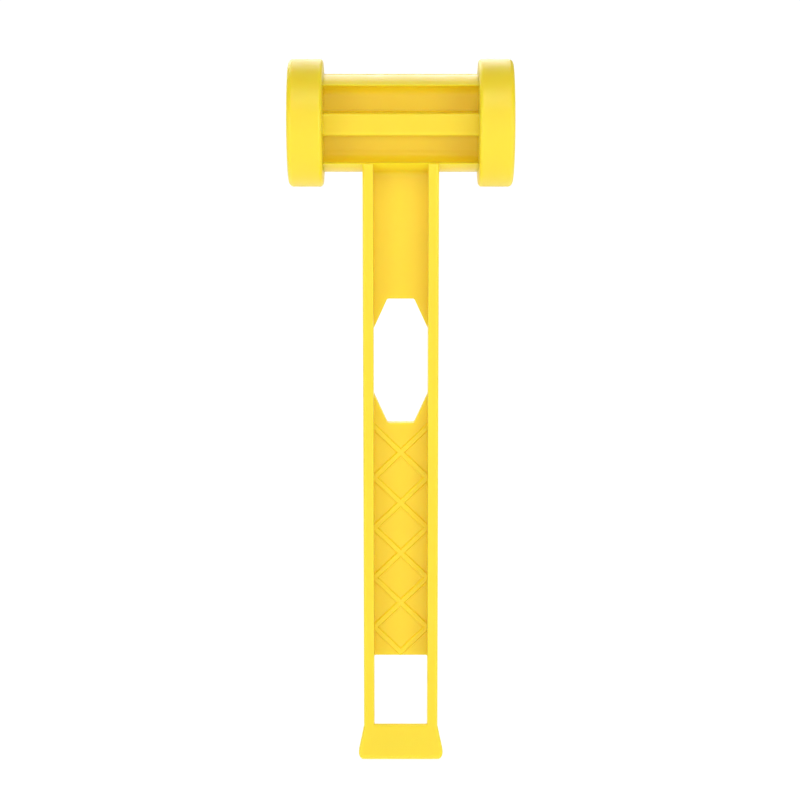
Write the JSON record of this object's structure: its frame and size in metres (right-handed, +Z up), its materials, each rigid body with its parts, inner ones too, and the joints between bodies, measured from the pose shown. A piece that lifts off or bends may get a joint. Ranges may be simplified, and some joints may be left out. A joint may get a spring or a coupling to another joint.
{
  "type": "plastic mallet",
  "caption": "One-hand moulded plastic mallet with disc striking ends, a ribbed handle with a finger opening, a window and a flared foot.",
  "frame": {"origin": "middle of the foot's flat underside, where the upright mallet stands", "axes": "+Z up the handle to the head, +X along the head towards the right striking face, +Y from the front to the back"},
  "size_m": [0.0882, 0.05, 0.284],
  "materials": {
    "body_plastic": "satin moulded polypropylene",
    "cap_plastic": "satin moulded polyethylene"
  },
  "bodies": {
    "root": {"mallet_body": "body_plastic", "left_striking_cap": "cap_plastic", "right_striking_cap": "cap_plastic"}
  },
  "joints": []
}
